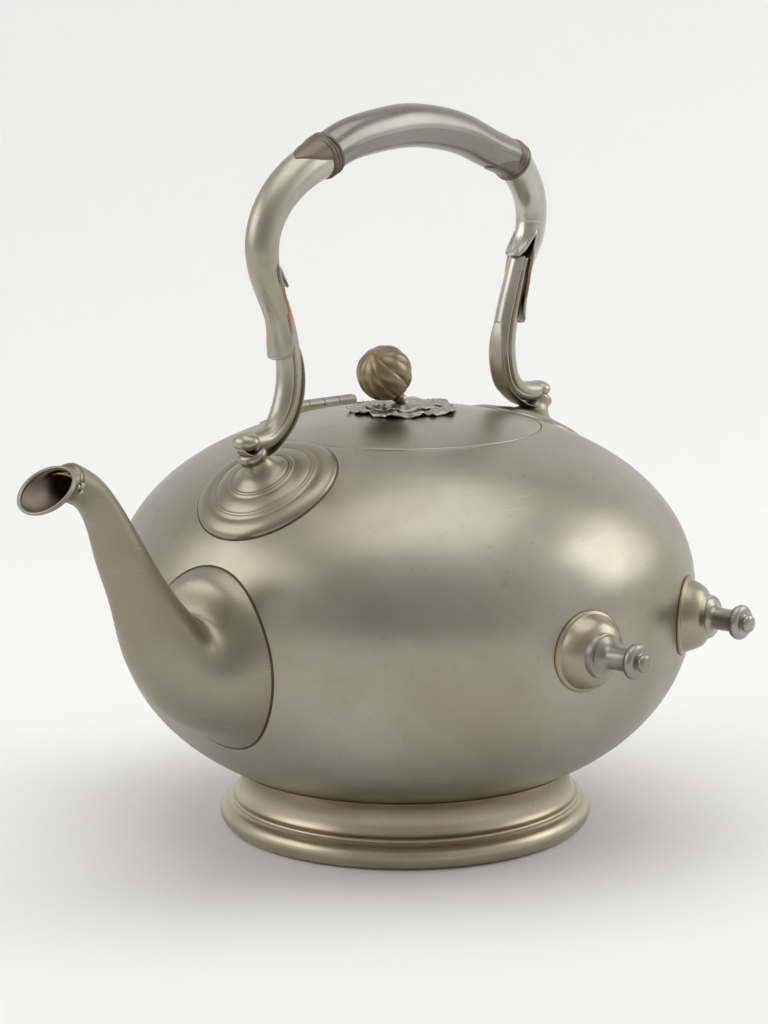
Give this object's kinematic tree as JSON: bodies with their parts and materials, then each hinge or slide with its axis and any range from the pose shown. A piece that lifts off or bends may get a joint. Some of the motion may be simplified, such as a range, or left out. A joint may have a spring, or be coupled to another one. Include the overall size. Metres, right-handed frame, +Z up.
{
  "type": "tilting samovar kettle",
  "caption": "Oblate metal samovar kettle on a ring foot, with a swan-neck spout, a fixed hoop handle, a hinged lid with a spiral bud finial and side studs for a stand.",
  "frame": {"origin": "middle of the foot ring's flat underside", "axes": "+Z up, -X towards the spout, +Y towards the lid's hinge; the handle stands in the XZ plane"},
  "size_m": [0.3555, 0.3152, 0.3216],
  "materials": {
    "plate": "warm grey plated sheet, polished by hand, with a brown patina and fine scratches",
    "handle_plate": "worn plate, satin, with brown in the creases",
    "bronze": "dark bronze brown, worn bright on the ridges",
    "bright_trim": "bright worn plate with a coppery edge",
    "leaf_plate": "grey-brown matt plate",
    "stud_plate": "turned plate with coppery lower rims",
    "hinge_plate": "dull plate",
    "inner_metal": "bare unpolished metal inside the vessel"
  },
  "bodies": {
    "kettle": {"body_crown": "plate", "body_belly": "plate", "mouth_ring": "inner_metal", "foot_ring": "plate", "spout_tube": "plate", "spout_lip": "plate", "spout_hood": "bright_trim", "spout_pearls": "bright_trim", "handle_base_front": "handle_plate", "handle_base_rear": "handle_plate", "handle_leg_front": "handle_plate", "handle_leg_rear": "handle_plate", "handle_arm_front": "handle_plate", "handle_arm_rear": "handle_plate", "handle_collar_front": "bronze", "handle_collar_rear": "bronze", "handle_grip": "handle_plate", "stud_flange_near_front": "stud_plate", "stud_flange_near_rear": "stud_plate", "stud_flange_far_front": "stud_plate", "stud_flange_far_rear": "stud_plate", "stud_pin_near_front": "stud_plate", "stud_pin_near_rear": "stud_plate", "stud_pin_far_front": "stud_plate", "stud_pin_far_rear": "stud_plate", "hinge_body_leaf": "hinge_plate", "hinge_pin": "hinge_plate"},
    "lid": {"lid_shell": "plate", "lid_flange": "inner_metal", "hinge_lid_leaf": "hinge_plate", "finial_leaves": "leaf_plate", "finial_stem": "inner_metal", "finial_bud": "bronze", "finial_nut": "inner_metal"}
  },
  "joints": [
    {"name": "lid_hinge", "type": "hinge", "parent": "kettle", "child": "lid", "pos_m": [0.00979, 0.06183, 0.18207], "axis": [-0.9877, 0.1564, 0], "range_deg": [0, 100]}
  ]
}
